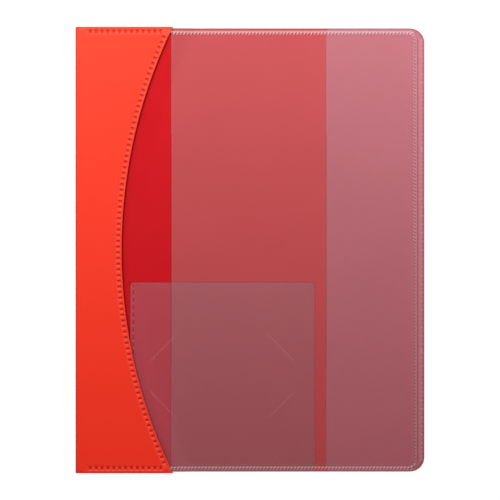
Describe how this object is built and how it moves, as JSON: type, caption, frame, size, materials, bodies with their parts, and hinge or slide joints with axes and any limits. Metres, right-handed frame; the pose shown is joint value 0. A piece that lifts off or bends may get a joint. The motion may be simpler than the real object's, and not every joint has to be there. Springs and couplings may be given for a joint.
{
  "type": "document folder",
  "caption": "Flat A4 document folder with a leatherette spine wrap ending in a hollow arc, clear front and red back cover, and milky inner pockets.",
  "frame": {"origin": "centre of the bounding box's base: the middle of the closed folder, on the surface it lies on", "axes": "+X from the spine to the open side, +Y up the page, +Z out of the front cover"},
  "size_m": [0.244, 0.312, 0.0031],
  "materials": {
    "leatherette": "soft orange-red imitation leather with a fine matt grain",
    "red_film": "smooth satin red film",
    "milky_film": "milky, finely frosted translucent film",
    "clear_film": "clear glossy film"
  },
  "bodies": {
    "back_cover": {"spine_wrap_back": "leatherette", "back_cover_film": "red_film", "narrow_pocket": "milky_film", "disc_pocket": "milky_film"},
    "front_cover": {"spine_wrap_front": "leatherette", "front_cover_film": "clear_film", "wide_pocket": "milky_film"}
  },
  "joints": [
    {"name": "cover_hinge", "type": "hinge", "parent": "back_cover", "child": "front_cover", "pos_m": [-0.122, 0, 0.00155], "axis": [0, -1, 0], "range_deg": [0, 180]}
  ]
}
